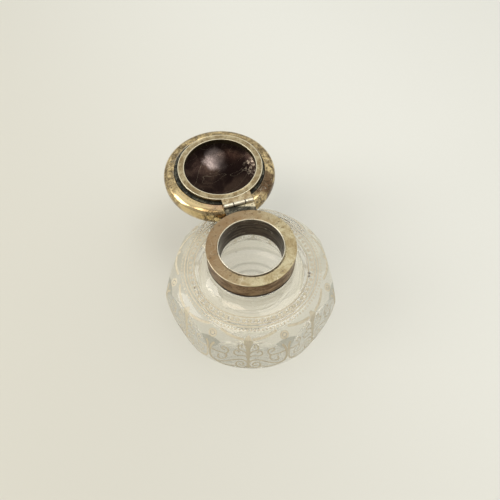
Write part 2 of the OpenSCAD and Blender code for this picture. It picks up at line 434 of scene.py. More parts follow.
def scratches(look, size, fineness, shift, stretch=(1, 1, 1)):
    """Thin wandering lines, 1 on a line."""
    field = look.noise(size, detail=1.0, rough=0.4, shift=shift, stretch=stretch)
    away = look.math("ABSOLUTE", look.math("SUBTRACT", field, 0.5))
    return look.ramp(away, 0.0, fineness, 1.0, 0.0)


def silver(name, bright, tarnish, dark, size=7.0, cover=0.5, specks=0.62, shine=(0.22, 0.42),
           tints=(), clean_at=None, wear_and_sheen_colour=(0.92, 0.86, 0.70), flow=(1, 1, 1)):
    """Old silver: rubbed metal under a mottled tarnish, dark specks, hair scratches and edges rubbed bright.

    cover and specks are the noise levels above which the tarnish and the specks show, tints are pairs of
    a colour and its place, clean_at is where the metal is rubbed clean, and flow stretches the pattern."""
    look = Look(name)
    broad = look.noise(size, detail=7, rough=0.62, warp=0.4, stretch=flow)
    small = look.noise(size / 7, detail=6, rough=0.7, shift=2.0, stretch=flow)
    grain = look.noise(0.35, detail=3, rough=0.6, shift=5.0)
    # The wear that a point keeps also holds painted highlights, and its grime painted shade, where a piece sets them
    # so.
    wear_and_sheen = look.held("wear_and_sheen")
    grime_and_shade = look.held("grime_and_shade")

    patina = look.ramp(look.math("ADD", look.math("MULTIPLY", broad, 0.7), look.math("MULTIPLY", small, 0.3)),
                       cover - 0.1, cover + 0.1)
    keep = look.math("SUBTRACT", 1.0, clean_at(look)) if clean_at else 1.0
    patina = look.math("MULTIPLY", patina, keep)
    colour = look.blend(patina, bright, tarnish)
    for tint, place in tints:
        colour = look.blend(look.math("MULTIPLY", place(look), 0.8), colour, tint)
    spot = look.noise(size / 2.6, detail=4, rough=0.75, shift=13.0, stretch=flow)
    speck = look.math("MAXIMUM", look.ramp(small, specks, specks + 0.08), look.ramp(spot, specks, specks + 0.05))
    # Darker with specks and grime, and with painted shade where the points' grime holds it.
    dirt_and_shade = look.math("MAXIMUM", look.math("MULTIPLY", look.math("MULTIPLY", speck, 0.75), keep),
                     look.ramp(look.math("ADD", grime_and_shade, look.math("MULTIPLY", small, 0.6)), 0.62, 0.95))
    colour = look.blend(dirt_and_shade, colour, dark)
    hair = look.math("MAXIMUM", scratches(look, 9, 0.004, 11.0, flow),
                     scratches(look, 14, 0.003, 17.0, (flow[0], 2.5 * flow[1], flow[2])))
    # Lighter with wear and scratches, and with painted highlights where the points' wear holds them.
    rubbed = look.math("MAXIMUM", look.math("MULTIPLY", hair, 0.35),
                       look.ramp(look.math("ADD", wear_and_sheen, look.math("MULTIPLY", broad, 0.5)), 0.75, 1.05))
    colour = look.blend(rubbed, colour, wear_and_sheen_colour)

    roughness = look.ramp(patina, 0, 1, shine[0], shine[1])
    roughness = look.math("ADD", roughness, look.math("MULTIPLY", dirt_and_shade, 0.25))
    roughness = look.math("SUBTRACT", roughness, look.math("MULTIPLY", rubbed, 0.08))
    look.set(Base_Color=colour, Metallic=1.0, Roughness=roughness)
    look.bump(look.math("ADD", look.math("MULTIPLY", small, 0.7), look.math("MULTIPLY", grain, 0.3)), SILVER_RELIEF)
    return look.material


# Specks of dried ink on the shoulder: centre, radius of the full colour, radius where it ends
DEPOSITS = (((29.9, -14.6, 41.5), 0.35, 1.0), ((29.0, -16.5, 41.5), 0.3, 0.9), ((-34.6, -3.6, 41.4), 0.25, 0.6))


def glass_look():
    """Clear cut glass; the engraving is matt, holds a little old staining, and has its edges darkened as painted shade.

    The mesh keeps how matt a point is (frost), how grey (tone, mostly painted shade), and whether it is in the well
    (inside)."""
    look = Look("cut_glass")
    frost = look.held("frost")
    inside = look.held("inside")
    cloud = look.noise(1.3, detail=5, rough=0.7)
    fine = look.noise(0.4, detail=3, rough=0.6, shift=4.0)
    matt = look.ramp(look.math("ADD", frost, look.math("MULTIPLY", look.math("SUBTRACT", fine, 0.5), 0.5)), 0.25, 0.7)
    stain = look.blend(look.ramp(cloud, 0.4, 0.66), (0.70, 0.635, 0.48), (0.56, 0.485, 0.34))
    stain = look.blend(look.towards((0, 0, 1), 36, 32), stain, (0.60, 0.525, 0.375))
    # The strokes' edges are darkened: painted shade along the engraving.
    edge_shade = look.math("MULTIPLY", matt, look.math("SUBTRACT", 1.0, matt))
    stain = look.blend(look.math("MULTIPLY", edge_shade, 3.6), stain, (0.33, 0.265, 0.15))
    film = look.blend(look.ramp(cloud, 0.35, 0.7), (0.985, 0.965, 0.895), (0.96, 0.935, 0.835))
    film = look.blend(look.math("MULTIPLY", inside, 0.8), film, (0.985, 0.965, 0.90))
    # Grey as the mesh's tone says: painted shade, save the well floor's faint rings.
    film = look.blend(look.held("tone"), film, (0.43, 0.425, 0.375))
    colour = look.blend(matt, film, stain)
    spread = look.ramp(look.noise(11, detail=2, shift=5.0), 0.5, 0.6)
    speck = look.math("MULTIPLY", look.ramp(look.cells(3.2, shift=9.0), 0.09, 0.13, 1.0, 0.0),
                      look.math("MULTIPLY", inside, spread))
    uneven = look.noise(1.1, detail=3, shift=6.0)
    soil = speck
    for centre, inner, outer in DEPOSITS:
        soil = look.math("MAXIMUM", soil, look.near(centre, inner, outer, uneven))
    colour = look.blend(soil, colour, (0.10, 0.08, 0.07))
    dull = look.math("MAXIMUM", look.math("MULTIPLY", matt, 0.9), soil)
    clear = look.math("SUBTRACT", 1.0, look.math("MAXIMUM", dull, look.math("MULTIPLY", inside, 0.2)))
    haze = look.ramp(look.noise(14, detail=5, rough=0.6, shift=1.0), 0.35, 0.75, 0.01, 0.045)
    haze = look.math("ADD", haze, look.math("MULTIPLY", inside, 0.13))
    look.set(Base_Color=colour, Transmission_Weight=clear, IOR=1.52,
             Roughness=look.math("ADD", look.math("MULTIPLY", matt, 0.42), haze))

    # Shadow and diffuse rays pass straight through, so that the glass doesn't darken the floor or its inside
    output = look.tree.nodes["Material Output"]
    path = look.add("ShaderNodeLightPath")
    thin = look.add("ShaderNodeBsdfTransparent")
    thin.inputs["Color"].default_value = (0.985, 0.982, 0.972, 1)
    both = look.add("ShaderNodeMixShader")
    look.feed(both.inputs["Fac"], look.math("MAXIMUM", path.outputs["Is Shadow Ray"], path.outputs["Is Diffuse Ray"]))
    look.feed(both.inputs[1], look.shader.outputs["BSDF"])
    look.feed(both.inputs[2], thin.outputs["BSDF"])
    look.feed(output.inputs["Surface"], both.outputs["Shader"])
    return look.material


def plaster_look():
    """Crumbling plaster with brown stains."""
    look = Look("old_plaster")
    crumbs = look.noise(0.7, detail=6, rough=0.7)
    stain = look.noise(3.5, detail=4, rough=0.6, shift=3.0)
    colour = look.blend(look.ramp(stain, 0.4, 0.65), (0.70, 0.66, 0.55), (0.42, 0.35, 0.25))
    look.set(Base_Color=look.blend(look.ramp(crumbs, 0.55, 0.75), colour, (0.30, 0.24, 0.17)),
             Roughness=look.ramp(crumbs, 0.3, 0.7, 0.75, 0.95))
    look.bump(crumbs, 0.15)
    return look.material


def inside_look():
    """The inside of the lid: a dark glossy brown tarnish with one pale lavender patch, a painted reflection on thinner
    tarnish, and fine scratches.
    """
    look = Look("lid_inside")
    broad = look.noise(12, detail=6, rough=0.6, warp=0.5)
    small = look.noise(1.6, detail=6, rough=0.7, shift=2.0)
    colour = look.blend(look.ramp(broad, 0.4, 0.65), (0.022, 0.013, 0.011), (0.06, 0.038, 0.028))
    # A painted reflection: a pale lavender patch on thinner tarnish.
    reflection_patch = look.near((2.2, LID_Y + 21.2, DOME_LOW.z + 5.5), 4.0, 8.6, broad)
    colour = look.blend(look.math("MULTIPLY", reflection_patch, 0.85), colour, (0.40, 0.32, 0.30))
    shade = look.near((11.5, LID_Y + 15, DOME_LOW.z + 5), 6, 14, broad)
    colour = look.blend(look.math("MULTIPLY", shade, 0.85), colour, (0.016, 0.009, 0.008))
    brown = look.math("MULTIPLY", look.towards((0.2, -1, 0), -LID_Y + 2, -LID_Y + 20), look.ramp(small, 0.42, 0.6))
    colour = look.blend(look.math("MULTIPLY", brown, 0.5), colour, (0.26, 0.20, 0.13))
    flake = look.math("MULTIPLY", look.near((23.8, LID_Y + 8, DOME_LOW.z + 7.5), 4.0, 8.0, broad),
                      look.ramp(small, 0.5, 0.6))
    colour = look.blend(look.math("MULTIPLY", flake, 0.7), colour, (0.42, 0.34, 0.26))
    hair = look.math("MAXIMUM", scratches(look, 34, 0.0022, 3.0), scratches(look, 24, 0.002, 7.0, (1, 3, 1)))
    colour = look.blend(look.math("MULTIPLY", hair, 0.3), colour, (0.55, 0.47, 0.34))
    look.set(Base_Color=colour, Metallic=1.0,
             Roughness=look.math("ADD", look.ramp(small, 0.3, 0.7, 0.2, 0.36), look.math("MULTIPLY", hair, 0.1)))
    look.bump(small, 0.02)
    return look.material


# ---------------------------------------------------------------- glass body

def glass_rows():
    """The uncut outline of the body as rows of (r, z), from the foot's centre up, over and down the well."""
    def outside_step(r, z):
        if r < SHOULDER_R - 3:
            return COARSE_STEP / 2
        return FINE_STEP if z > 4 else 2 * FINE_STEP

    def inside_step(r, z):
        return COARSE_STEP if z > WELL_FLOOR_Z + 1 else FINE_STEP

    foot = [(r, 0.0) for r in (3, 12, 20, 27, 32, 35.5, 37.5)]
    under = arc((FOOT_R, BODY_WIDE_Z), (BODY_R - FOOT_R, -BODY_WIDE_Z), UNDER_CURVE, 200)[::-1]
    dome = arc((SHOULDER_R, BODY_WIDE_Z), (BODY_R - SHOULDER_R, SHOULDER_Z - BODY_WIDE_Z), 2, 200)
    flare = arc((SHOULDER_R, NECK_FLARE_Z), (NECK_R - SHOULDER_R, SHOULDER_Z - NECK_FLARE_Z), 2, 120)[::-1]
    outside = even_rows(under + dome[1:] + flare[1:] + [(NECK_R, GLASS_TOP - 0.2), (NECK_R - 0.3, GLASS_TOP)],
                        outside_step)
    ceiling = arc((NECK_BORE_R, WELL_WALL_Z), (WELL_R - NECK_BORE_R, WELL_CEILING_H), 2, 120)[::-1]
    corner = arc((WELL_R - WELL_CORNER_R, WELL_FLOOR_Z + WELL_CORNER_R), (WELL_CORNER_R, -WELL_CORNER_R), 2, 60)
    inside = even_rows([(NECK_BORE_R + 0.3, GLASS_TOP), (NECK_BORE_R, GLASS_TOP - 0.3)] + ceiling + corner
                       + [(2.5, WELL_FLOOR_Z)], inside_step)
    return np.array(foot + [tuple(p) for p in outside] + [tuple(p) for p in inside]), len(foot) + len(outside)


def smallest(a, b, softness):
    """The smaller of two distances, with the meeting edge rounded."""
    h = np.clip(0.5 + 0.5 * (b - a) / softness, 0, 1)
    return b + (a - b) * h - softness * h * (1 - h)


def grid_normals(points):
    """The outward direction at each point of a grid of rows round the glass."""
    along = np.roll(points, -1, axis=1) - np.roll(points, 1, axis=1)
    up = np.gradient(points, axis=0)
    normals = np.cross(along, up)
    return normals / np.maximum(np.linalg.norm(normals, axis=2, keepdims=True), 1e-9)


def stroke_field(across, height):
    """0 to 1 where a facet's engraving covers points given by distance from its middle and height."""
    flat = np.stack([np.abs(across).ravel(), height.ravel()], 1)
    stem = curve_through(STEM, 0.4)
    width = np.interp(flat[:, 1], stem[:, 0], stem[:, 1], left=-1, right=-1)
    rib = 0.5 + 0.5 * np.cos(flat[:, 0] / LEAF_RIB_PITCH * math.pi)
    solid = soft_step(-0.25, 0.15, width - flat[:, 0]) * np.where(flat[:, 1] > LEAF_Z, 0.55 + 0.45 * rib, 1)
    best = np.full(len(flat), FAR)
    for name, points in SCROLLS.items():
        extra = (SCROLL_WIDTHS.get(name, SCROLL_WIDTH) - SCROLL_WIDTH) / 2
        line = curve_through(points)
        low, high = line.min(0) - 1, line.max(0) + 1
        near = np.where(np.all((flat > low) & (flat < high), axis=1))[0]
        for part in np.array_split(near, max(1, len(near) // POINTS_AT_ONCE)):
            gap = np.linalg.norm(flat[part][:, None, :] - line[None, :, :], axis=2).min(1)
            best[part] = np.minimum(best[part], gap - extra)
    lines = 1 - soft_step(SCROLL_WIDTH / 2 - 0.12, SCROLL_WIDTH / 2 + 0.16, best)
    return np.maximum(solid, lines).reshape(across.shape)


def ring_of_spots(r, angle, ring_r, count, size):
    """Distance from the nearest of a ring of spots, over the spot's size."""
    pitch = 2 * math.pi / count
    off = (angle + pitch / 2) % pitch - pitch / 2
    return np.hypot(r - ring_r, off * ring_r) / size


def shoulder_z(r):
    """Height of the uncut shoulder at a radius."""
    return BODY_WIDE_Z + (SHOULDER_Z - BODY_WIDE_Z) * math.sqrt(1 - ((r - SHOULDER_R) / (BODY_R - SHOULDER_R)) ** 2)


def ring_band(radius, ring_r, full, end):
    """1 on a ring, falling to 0 between two distances from it."""
    return 1 - soft_step(full, end, np.abs(radius - ring_r))


def engraving(rows, outer, on_top, radius, height, angles, off_facet, off_corner):
    """How matt (0 to 1) and how deep (in millimetres) each point of the glass is engraved."""
    frost = np.zeros(radius.shape)
    depth = np.zeros(radius.shape)

    # The scrolls go by height on a facet and, above it, by the way up the shoulder
    travel = np.concatenate([[0], np.cumsum(np.linalg.norm(np.diff(rows, axis=0), axis=1))])
    top_row = np.argmax((rows[:, 1] > shoulder_z(FACET_REACH) - 0.5) & (rows[:, 0] > SHOULDER_R))
    reach = np.where(np.arange(len(rows)) > top_row, rows[top_row, 1] + travel - travel[top_row], rows[:, 1])
    on_side = outer & (rows[:, 1] > ENGRAVED_FROM_Z) & (rows[:, 0] > SHOULDER_R + 3)
    across = radius * np.sin(off_facet)
    frost[on_side] = stroke_field(across[on_side], np.repeat(reach[:, None], radius.shape[1], axis=1)[on_side])
    depth[on_side] = frost[on_side] * SCROLL_DEPTH

    for ring_r, count, size in SPOT_RINGS:
        gap = ring_of_spots(radius[on_top], angles[on_top], ring_r, count, size)
        frost[on_top] = np.maximum(frost[on_top], 1 - soft_step(0.8, 1.15, gap))
    for ring_r in LINE_RINGS:
        gap = np.abs(radius[on_top] - ring_r) / (LINE_WIDTH / 2)
        frost[on_top] = np.maximum(frost[on_top], 1 - soft_step(0.6, 1.5, gap))

    # A pearl over each corner: a shallow bowl with a matt ring and a dot
    gap = np.sqrt((radius - PEARL_R) ** 2 + (height - shoulder_z(PEARL_R)) ** 2 + (radius * off_corner) ** 2)
    gap = np.where(outer[:, None], gap / PEARL_SIZE, FAR)
    ring = 1 - soft_step(0.1, 0.26, np.abs(gap - 0.82))
    dot = 1 - soft_step(0.25, 0.45, gap)
    fill = 0.5 * (1 - soft_step(0.7, 0.95, gap))
    frost = np.maximum(frost, np.maximum(np.maximum(ring, dot * 0.9), fill))
    depth = np.maximum(depth, PEARL_DEPTH * np.clip(1 - gap ** 2, 0, 1))
    return frost, depth


def clear_tone(rows, outer, on_top, plain, radius, height, off_facet, in_corner):
    """How grey the clear glass is. Painted shade makes the engraved panels grey below an arc, the corner cuts greyer,
    one line between two engraved rings grey, and the foot's underside grey. The well's floor has two faint grey rings."""
    on_cut = outer[:, None] & (plain - radius > 0.12)
    across = radius * np.sin(off_facet)
    panel_top = PANEL_TOP + PANEL_SAG * (across / PANEL_HALF_WIDTH) ** 2
    # Painted shade: the panels grey below an arc, the corner cuts greyer.
    tone = np.where(on_cut & ~in_corner, PANEL_SHADE * (1 - soft_step(-0.2, 0.2, height - panel_top)), 0.0)
    tone = np.where(on_cut & in_corner, CORNER_SHADE, tone)
    on_floor = (~outer) & (rows[:, 1] < WELL_FLOOR_Z + 3)
    for ring_r in WELL_RINGS:
        tone[on_floor] = np.maximum(tone[on_floor], WELL_RING_TONE * ring_band(radius[on_floor], ring_r, 0.4, 1.3))
    # A thin grey line between two engraved rings: painted shade.
    tone[on_top] = np.maximum(tone[on_top], LINE_GAP_SHADE * ring_band(radius[on_top], LINE_GAP_R, 0.15, 0.45))
    # The foot's underside is grey: painted shade for the table under the glass.
    tone[outer & (rows[:, 1] < 0.5)] = UNDER_GLASS_SHADE
    return tone


def build_glass():
    rows, outer_count = glass_rows()
    outer = np.arange(len(rows)) < outer_count
    on_top = outer & (rows[:, 1] > BODY_WIDE_Z) & (rows[:, 0] > NECK_R + 2)
    columns = SIDES * SIDE_COLUMNS
    angle = math.radians(FACET_TURN) + 2 * math.pi * np.arange(columns) / columns
    plain = np.repeat(rows[:, 0][:, None], columns, axis=1)
    height = np.repeat(rows[:, 1][:, None], columns, axis=1)
    angles = np.repeat(angle[None, :], len(rows), axis=0)

    side = 2 * math.pi / SIDES
    off_facet = (angles - math.radians(FACET_TURN) + side / 2) % side - side / 2
    off_corner = (angles - math.radians(FACET_TURN)) % side - side / 2
    lean, tilt = math.radians(FACET_LEAN), math.radians(CORNER_TILT)
    facet_r = (FACET_REACH - (height - FACET_Z) * math.tan(lean)) / np.cos(off_facet)
    corner_r = (CORNER_R - (height - CORNER_Z) * math.tan(tilt)) / np.cos(off_corner)
    cut = smallest(smallest(plain, facet_r, EDGE_SOFTNESS), corner_r, EDGE_SOFTNESS)
    radius = np.where(outer[:, None], np.minimum(cut, plain), plain)
    points = np.stack([radius * np.cos(angles), radius * np.sin(angles), height], axis=2)

    frost, depth = engraving(rows, outer, on_top, radius, height, angles, off_facet, off_corner)
    tone = clear_tone(rows, outer, on_top, plain, radius, height, off_facet, corner_r < facet_r)
    points = points - grid_normals(points) * depth[:, :, None]

    here = np.arange(columns)
    beside = (here + 1) % columns
    faces = []
    for row in range(len(rows) - 1):
        a, b = row * columns + here, row * columns + beside
        faces += np.stack([a, b, b + columns, a + columns], axis=1).tolist()
    faces.append(list(range(columns))[::-1])
    last = (len(rows) - 1) * columns
    faces.append([last + k for k in range(columns)])
    piece = new_piece("engraved_glass", points.reshape(-1, 3), faces)
    give(piece.data, "frost", frost.ravel())
    give(piece.data, "tone", tone.ravel())
    give(piece.data, "inside", np.repeat((~outer).astype(float), columns))
    fix_normals(piece)
    finish_piece(piece, "glass_body", "base", "cut_glass", glass_look())


# ---------------------------------------------------------------- collar

def build_collar():
    def brown_side(look):
        return look.towards((-0.8, 0.6, 0), -18, 18)

    collar = silver("collar_top", bright=(0.64, 0.565, 0.36), tarnish=(0.40, 0.31, 0.165), dark=(0.09, 0.065, 0.04),
                    size=6, cover=0.5, specks=0.6, shine=(0.3, 0.42), wear_and_sheen_colour=(0.88, 0.80, 0.60),
                    tints=[((0.29, 0.18, 0.095), brown_side)])
    outline = spaced(filleted([(SLEEVE_R, FLANGE_LOW.z), (FLANGE_R, FLANGE_LOW.z), (FLANGE_R, FLANGE_Z),
                               (SLEEVE_R, FLANGE_Z)], 0.42), 0.5, closed=True)

    def flange_wear_and_highlight(r, z, angle):
        """The outer edge is rubbed all round; its extra lightening at the front is a painted highlight."""
        on_edge, front = float(r > FLANGE_R - 0.4), float(math.sin(angle) < 0)
        return 0.3 * on_edge + 0.4 * on_edge * abs(math.sin(angle + 1.0)) * front

    def flange_dirt_and_shade(r, z, angle):
        """Dirt lies along the sleeve, most at the front; under the flange the metal is darkened as painted shade."""
        return max(0.62 * float(r < SLEEVE_R + 1.0) * (0.5 - 0.5 * math.sin(angle)),
                   0.6 * float(z < FLANGE_LOW.z + 0.3))

    flange = lathe("collar_top_ring", outline)
    give(flange.data, "wear_and_sheen", lathe_values(outline, COLLAR_COLUMNS, flange_wear_and_highlight))
    give(flange.data, "grime_and_shade", lathe_values(outline, COLLAR_COLUMNS, flange_dirt_and_shade))
    dent(flange, 0.04, 8, 1)
    finish_piece(flange, "collar_flange", "base", "collar_silver", collar)

    copper = silver("collar_skirt", bright=(0.37, 0.255, 0.155), tarnish=(0.16, 0.095, 0.055),
                    dark=(0.04, 0.025, 0.02), size=5, cover=0.48, flow=(0.7, 0.7, 1.5), specks=0.6,
                    shine=(0.3, 0.42), wear_and_sheen_colour=(0.62, 0.50, 0.33))
    inner = BAND_R - BAND_T
    outline = spaced(filleted([(inner, BAND_LOW.z), (BAND_R, BAND_LOW.z), (BAND_R, BAND_TOP.z), (inner, BAND_TOP.z)],
                              0.22), 0.7, closed=True)
    skirt = lathe("collar_skirt", outline)
    # Darker along its lower edge; the darkening at its top, under the flange, is painted shade.
    give(skirt.data, "grime_and_shade", lathe_values(outline, COLLAR_COLUMNS, lambda r, z, angle: max(
        0.66 * float(z < BAND_LOW.z + 1.6), 0.8 * float(z > BAND_TOP.z - 0.6))))
    dent(skirt, 0.09, 6, 2)
    finish_piece(skirt, "collar_band", "base", "collar_silver", copper)

    dull = silver("sleeve_metal", bright=(0.085, 0.066, 0.052), tarnish=(0.03, 0.022, 0.019),
                  dark=(0.012, 0.01, 0.009), size=5, cover=0.5, flow=(0.3, 0.3, 3), specks=0.66,
                  shine=(0.3, 0.45), wear_and_sheen_colour=(0.90, 0.84, 0.68))
    lip = SLEEVE_TOP.z - FLANGE_Z
    mouth_r = SLEEVE_R - SLEEVE_T
    outline = spaced(filleted([
        (SLEEVE_END_R, SLEEVE_LOW.z), (SLEEVE_END_R + SLEEVE_T, SLEEVE_LOW.z), (SLEEVE_R, FLANGE_LOW.z),
        (SLEEVE_R, FLANGE_Z), (SLEEVE_R - lip, SLEEVE_TOP.z), (mouth_r + lip, SLEEVE_TOP.z), (mouth_r, FLANGE_Z),
    ], 0.12), 0.7, closed=True)
    sleeve = lathe("mouth_sleeve", outline)
    give(sleeve.data, "wear_and_sheen", lathe_values(outline, COLLAR_COLUMNS, lambda r, z, angle: float(z > FLANGE_Z - 0.15)))
    dent(sleeve, 0.05, 5, 3)
    finish_piece(sleeve, "collar_sleeve", "base", "dark_silver", dull)

    bed_low = box_mm("cement_bed")[0].z
    outline = spaced([(NECK_R + BED_GAP, bed_low), (inner - BED_GAP, bed_low), (inner - BED_GAP, FLANGE_LOW.z),
                      (NECK_BORE_R, FLANGE_LOW.z), (NECK_BORE_R, GLASS_TOP), (NECK_R + BED_GAP, GLASS_TOP)],
                     0.5, closed=True)
    bed = lathe("plaster_bed", outline)
    dent(bed, 0.12, 0.9, 4)
    finish_piece(bed, "cement_bed", "base", "plaster", plaster_look())


# ---------------------------------------------------------------- hinge

def knuckle(name, node, body, material, bore):
    """A turned barrel along the pin, hollow for it, with rounded ends."""
    low, high = box_mm(node)
    barrel_r = (high.z - low.z) / 2
    width = high.x - low.x

    def along_pin(r, x, angle):
        return (low.x + x, PIN.y + r * math.cos(angle), PIN.z + r * math.sin(angle))

    def wear_and_sheen(r, x, angle):
        return 0.3 if r > barrel_r - 0.04 and math.sin(angle) > 0.2 else 0.0

    outline = spaced(filleted([(bore, 0.0), (barrel_r, 0.0), (barrel_r, width), (bore, width)], 0.25, 4), 0.4,
                     closed=True)
    piece = lathe(name, outline, along_pin, KNUCKLE_COLUMNS)
    give(piece.data, "wear_and_sheen", lathe_values(outline, KNUCKLE_COLUMNS, wear_and_sheen))
    # The ends of each barrel are darkened: painted shade in the gaps between the knuckles.
    give(piece.data, "grime_and_shade", lathe_values(outline, KNUCKLE_COLUMNS,
                                           lambda r, x, angle: float(min(x, width - x) < 0.2)))
    finish_piece(piece, node, body, "bright_silver", material)


def softened(name, node, body, slot, width, material):
    """The CAD node's form with its edges rounded by wear."""
    mesh = frame["nodes"][node].data.copy()
    mesh.name = name
    mesh.materials.clear()
    work = bmesh.new()
    work.from_mesh(mesh)
    bmesh.ops.remove_doubles(work, verts=work.verts, dist=1e-6)
    bmesh.ops.dissolve_limit(work, angle_limit=math.radians(1.5), verts=work.verts, edges=work.edges)
    work.to_mesh(mesh)
    work.free()
    piece = bpy.data.objects.new(name, mesh)
    bpy.context.scene.collection.objects.link(piece)
    edge = piece.modifiers.new("worn_edges", "BEVEL")
    edge.width = width * MM
    edge.segments = 3
    edge.limit_method = "ANGLE"
    edge.angle_limit = math.radians(35)
    smooth(mesh)
    piece.modifiers.new("even_shading", "WEIGHTED_NORMAL")
    finish_piece(piece, node, body, slot, material)


def build_hinge():
    def pin_side_highlight(look):
        return look.towards((0.3, 1, 0), PIN.y - 1.2, PIN.y - 0.2)

    bright = silver("hinge_bright", bright=(0.86, 0.80, 0.64), tarnish=(0.62, 0.52, 0.35), dark=(0.10, 0.08, 0.06),
                    size=3, cover=0.56, specks=0.66, shine=(0.34, 0.46))
    knuckle("left_knuckle", "hinge_knuckle_left", "base", bright, PIN_R)
    knuckle("right_knuckle", "hinge_knuckle_right", "base", bright, PIN_R)
    knuckle("middle_knuckle", "hinge_knuckle_middle", "lid", bright, TURNING_BORE_R)
    softened("pin_wire", "hinge_pin", "base", "bright_silver", 0.05, bright)
    # The lower leaf is dark with tarnish and painted shade, and its pale strip along the pin side is a painted
    # highlight.
    lower = silver("leaf_metal", bright=(0.24, 0.215, 0.15), tarnish=(0.055, 0.052, 0.04), dark=(0.02, 0.02, 0.016),
                   size=3, cover=0.46, specks=0.55, shine=(0.35, 0.5), tints=[((0.88, 0.79, 0.56), pin_side_highlight)])
    softened("lower_leaf", "hinge_leaf_lower", "base", "dark_silver", 0.12, lower)
    upper = silver("upper_leaf_metal", bright=(0.62, 0.51, 0.32), tarnish=(0.36, 0.26, 0.14),
                   dark=(0.08, 0.06, 0.035), size=3, cover=0.5, specks=0.6, shine=(0.32, 0.44))
    softened("upper_leaf", "hinge_leaf_upper", "lid", "bright_silver", 0.1, upper)


# ---------------------------------------------------------------- lid

def close_top(mesh, rows, outer_end):
    """Takes the wall of the lathed shell's middle hole out, and closes both ends of the hole with a face."""
    work = bmesh.new()
    work.from_mesh(mesh)
    work.verts.ensure_lookup_table()
    hole_rows = (outer_end, outer_end + 1)
    for row in hole_rows:
        ring = [work.verts[j * rows + row] for j in range(LID_COLUMNS)]
        work.faces.new(ring if row == outer_end else ring[::-1])
    walls = [f for f in work.faces if len(f.verts) == 4 and all(v.index % rows in hole_rows for v in f.verts)]
    bmesh.ops.delete(work, geom=walls, context="FACES_ONLY")
    bmesh.ops.recalc_face_normals(work, faces=work.faces)
    work.to_mesh(mesh)
    work.free()


def build_dome(face_z, rim_z):
    wide_z = face_z + LID_WIDE_H
    dome_h = (2 * PIN.z - DOME_LOW.z) - wide_z

    def shell(inset):
        under = arc((RIM_R, wide_z), (LID_R - RIM_R - inset, rim_z - wide_z + inset), BULGE_CURVE, 26)[::-1]
        return under + arc((0, wide_z), (LID_R - inset, dome_h - inset), 2, 56)[1:-1]

    outer, inner = shell(0), shell(LID_WALL)[::-1]
    centre_r, top_z = 0.35, wide_z + dome_h
    outline = outer + [(centre_r, top_z), (centre_r, top_z - LID_WALL)] + inner
    rows = len(outline)
    dome = lathe("lid_shell", outline, opened_dome, LID_COLUMNS)
    give(dome.data, "wear_and_sheen", lathe_values(outline, LID_COLUMNS, lambda r, z, angle: 0.55 * float(
        r < RIM_R + 0.9 and z < wide_z)))
    give(dome.data, "grime_and_shade", lathe_values(outline, LID_COLUMNS, lambda r, z, angle: 0.42 * float(
        RIM_R + 0.6 < r < RIM_R + 2.2 and z < wide_z)))
    close_top(dome.data, rows, len(outer))
    for face in dome.data.polygons:
        face.material_index = int(min(v % rows for v in face.vertices) > len(outer))
    smooth(dome.data)
    dent(dome, 0.12, 11, 5)

    # On the bulge: rubbed clean at the front left, coppery beside it, brown right of the hinge
    rubbed, peach, brown = (-21, LID_Y - 19, PIN.z), (-10.5, LID_Y - 23.5, PIN.z), (21, LID_Y - 20, PIN.z)
    gold = silver("lid_outside", bright=(0.76, 0.59, 0.31), tarnish=(0.22, 0.155, 0.075), dark=(0.035, 0.03, 0.018),
                  size=5, cover=0.49, specks=0.555, shine=(0.11, 0.26), wear_and_sheen_colour=(0.86, 0.80, 0.66),
                  tints=[((0.10, 0.05, 0.03), lambda look: look.near(brown, 7, 13, look.noise(6, shift=8.0))),
                         ((0.80, 0.50, 0.33), lambda look: look.near(peach, 2.5, 8, look.noise(7, shift=4.0)))],
                  clean_at=lambda look: look.near(rubbed, 9, 17, look.noise(8, shift=3.0)))
    finish_piece(dome, "lid_dome", "lid", "lid_silver", gold, inside_look())


